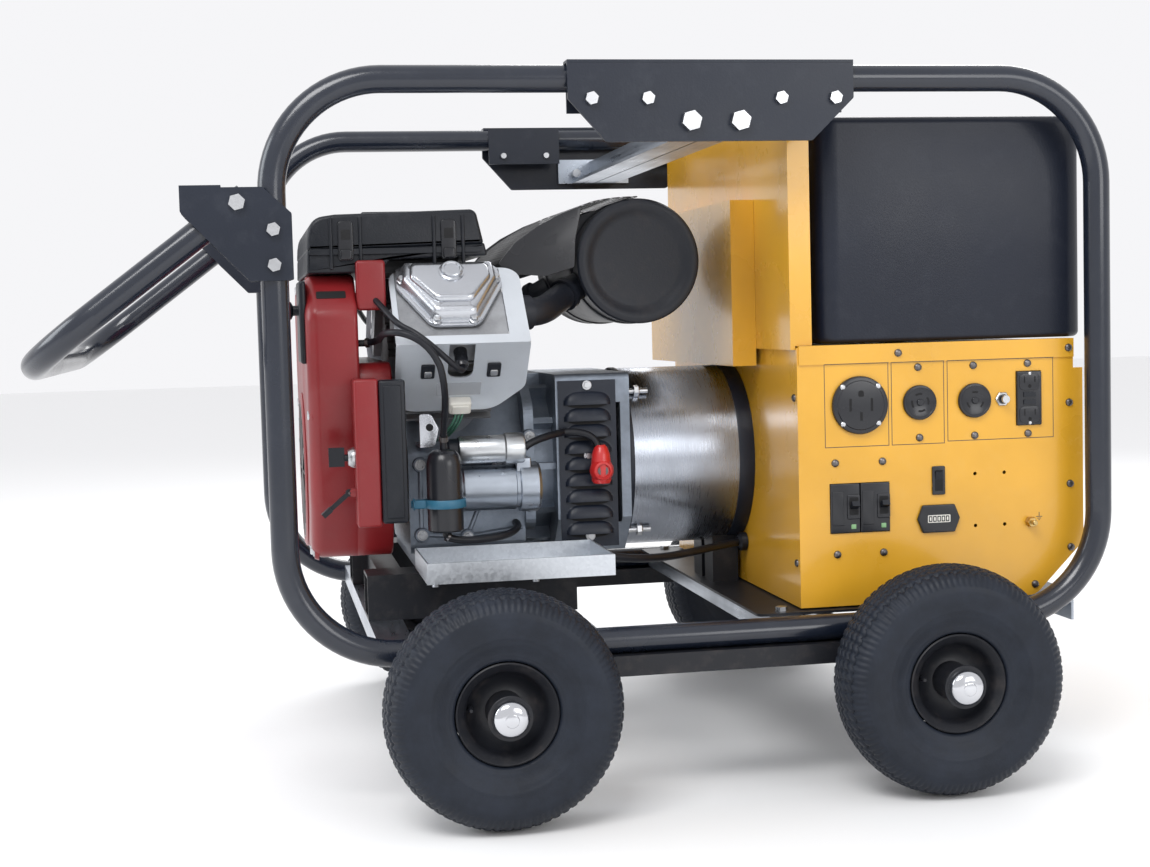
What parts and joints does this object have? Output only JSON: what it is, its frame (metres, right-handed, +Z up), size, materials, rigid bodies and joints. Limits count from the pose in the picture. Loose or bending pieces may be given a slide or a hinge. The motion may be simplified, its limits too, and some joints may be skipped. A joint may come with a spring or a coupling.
{
  "type": "engine driven welder",
  "caption": "Engine driven power unit: air cooled V-twin engine, alternator, outlet box and fuel tank in a tube cage cart with pneumatic wheels, lift bar and a fold-down pull handle.",
  "frame": {"origin": "on the floor, at the middle of the whole unit's length and width with the handle lowered", "axes": "+X from the pull handle towards the control box, -Y towards the operator's side with the outlets, +Z up"},
  "size_m": [1.2406, 0.934, 0.8252],
  "materials": {
    "frame_paint": "satin black powder coat on steel tube",
    "plate_paint": "satin black powder coat on folded plate",
    "base_paint": "dull black paint",
    "grey_paint": "grey enamel",
    "zinc": "zinc plated steel",
    "chrome": "bright chrome",
    "tyre_rubber": "black tyre rubber with a fine tread",
    "rim_paint": "gloss black painted pressed steel",
    "yellow_paint": "semi gloss yellow enamel",
    "black_plastic": "black moulded plastic",
    "device_plastic": "black thermoset",
    "screw_steel": "blackened screw",
    "tank_paint": "dark grey black semi gloss enamel",
    "shell_steel": "rolled bare steel shell",
    "copper_wire": "varnished windings on laminations",
    "cast_grey": "grey blue painted casting",
    "engine_red": "gloss red enamel",
    "cast_aluminium": "bright cast aluminium",
    "steel": "machined steel",
    "muffler_black": "heat resistant flat black",
    "air_plastic": "dark grey moulded plastic",
    "cable_rubber": "black cable jacket"
  },
  "bodies": {
    "chassis": {"front_loop": "frame_paint", "rear_loop": "frame_paint", "cross_members": "grey_paint", "engine_base": "base_paint", "base_plate": "base_paint", "wheel_rails": "base_paint", "carburettor": "cast_aluminium", "axles": "zinc", "axle_caps": "chrome", "handle_brackets": "frame_paint", "frame_bolts": "zinc", "lift_plates": "plate_paint", "lift_clamps": "frame_paint", "lift_bar": "grey_paint", "control_box": "yellow_paint", "control_panel": "yellow_paint", "panel_screws": "screw_steel", "panel_devices": "device_plastic", "heat_shield": "yellow_paint", "shield_pan": "yellow_paint", "fuel_tank": "tank_paint", "alternator_shell": "shell_steel", "alternator_stator": "copper_wire", "adapter_housing": "cast_grey", "louvre_cover": "muffler_black", "crankcase": "cast_grey", "fan_housing": "engine_red", "cylinders": "cast_aluminium", "cylinder_shrouds": "cast_aluminium", "head_covers": "cast_aluminium", "air_cleaner_base": "black_plastic", "muffler": "muffler_black", "exhaust_pipes": "muffler_black", "starter": "base_paint", "oil_filter": "base_paint", "engine_box": "engine_red", "battery_tray": "zinc", "wiring": "cable_rubber"},
    "wheel_1": {"tyre_1": "tyre_rubber", "rim_1": "rim_paint"},
    "wheel_2": {"tyre_2": "tyre_rubber", "rim_2": "rim_paint"},
    "wheel_3": {"tyre_3": "tyre_rubber", "rim_3": "rim_paint"},
    "wheel_4": {"tyre_4": "tyre_rubber", "rim_4": "rim_paint"},
    "handle": {"handle": "frame_paint"},
    "crank": {"crankshaft": "steel", "flywheel": "steel", "alternator_rotor": "steel"},
    "fuel_cap": {"fuel_cap": "black_plastic"},
    "test_button": {"test_button": "device_plastic"},
    "reset_button": {"reset_button": "device_plastic"},
    "breaker_lever_1": {"breaker_lever_1": "device_plastic"},
    "breaker_lever_2": {"breaker_lever_2": "device_plastic"},
    "rocker": {"rocker": "device_plastic"},
    "push_reset": {"push_reset": "zinc"},
    "ignition_key": {"ignition_key": "chrome"},
    "throttle_lever": {"throttle_lever": "black_plastic"},
    "air_cleaner_cover": {"air_cleaner_cover": "air_plastic"}
  },
  "joints": [
    {"name": "wheel_1_spin", "type": "hinge", "parent": "chassis", "child": "wheel_1", "pos_m": [-0.12169, -0.405, 0.13], "axis": [0, 1, 0], "continuous": true},
    {"name": "wheel_2_spin", "type": "hinge", "parent": "chassis", "child": "wheel_2", "pos_m": [-0.12169, 0.405, 0.13], "axis": [0, 1, 0], "continuous": true},
    {"name": "wheel_3_spin", "type": "hinge", "parent": "chassis", "child": "wheel_3", "pos_m": [0.38231, -0.405, 0.13], "axis": [0, 1, 0], "continuous": true},
    {"name": "wheel_4_spin", "type": "hinge", "parent": "chassis", "child": "wheel_4", "pos_m": [0.38231, 0.405, 0.13], "axis": [0, 1, 0], "continuous": true},
    {"name": "handle_swing", "type": "hinge", "parent": "chassis", "child": "handle", "pos_m": [-0.38169, 0, 0.676], "axis": [0, 1, 0], "range_deg": [0, 37]},
    {"name": "crank_spin", "type": "hinge", "parent": "chassis", "child": "crank", "pos_m": [-0.11969, 0, 0.363], "axis": [1, 0, 0], "continuous": true},
    {"name": "fuel_cap_lift", "type": "slide", "parent": "chassis", "child": "fuel_cap", "axis": [0, 0, 1], "range_m": [0, 0.05]},
    {"name": "test_button_press", "type": "slide", "parent": "chassis", "child": "test_button", "axis": [0, 1, 0], "range_m": [0, 0.0012], "stiffness_N_per_m": 400},
    {"name": "reset_button_press", "type": "slide", "parent": "chassis", "child": "reset_button", "axis": [0, 1, 0], "range_m": [0, 0.0012], "stiffness_N_per_m": 400},
    {"name": "breaker_1_trip", "type": "hinge", "parent": "chassis", "child": "breaker_lever_1", "pos_m": [0.31381, -0.29, 0.314], "axis": [1, 0, 0], "range_deg": [0, 50]},
    {"name": "breaker_2_trip", "type": "hinge", "parent": "chassis", "child": "breaker_lever_2", "pos_m": [0.35081, -0.29, 0.314], "axis": [1, 0, 0], "range_deg": [0, 50]},
    {"name": "rocker_tilt", "type": "hinge", "parent": "chassis", "child": "rocker", "pos_m": [0.41981, -0.291, 0.342], "axis": [-1, 0, 0], "range_deg": [0, 18]},
    {"name": "push_reset_press", "type": "slide", "parent": "chassis", "child": "push_reset", "axis": [0, 1, 0], "range_m": [0, 0.003], "stiffness_N_per_m": 300},
    {"name": "ignition_key_turn", "type": "hinge", "parent": "chassis", "child": "ignition_key", "pos_m": [-0.26969, -0.224, 0.392], "axis": [1, 0, 0], "range_deg": [0, 90]},
    {"name": "throttle_lever_swing", "type": "hinge", "parent": "chassis", "child": "throttle_lever", "pos_m": [-0.26769, -0.226, 0.352], "axis": [0, 1, 0], "range_deg": [0, 60]},
    {"name": "air_cleaner_cover_lift", "type": "slide", "parent": "chassis", "child": "air_cleaner_cover", "axis": [0, 0, 1], "range_m": [0, 0.08]}
  ]
}
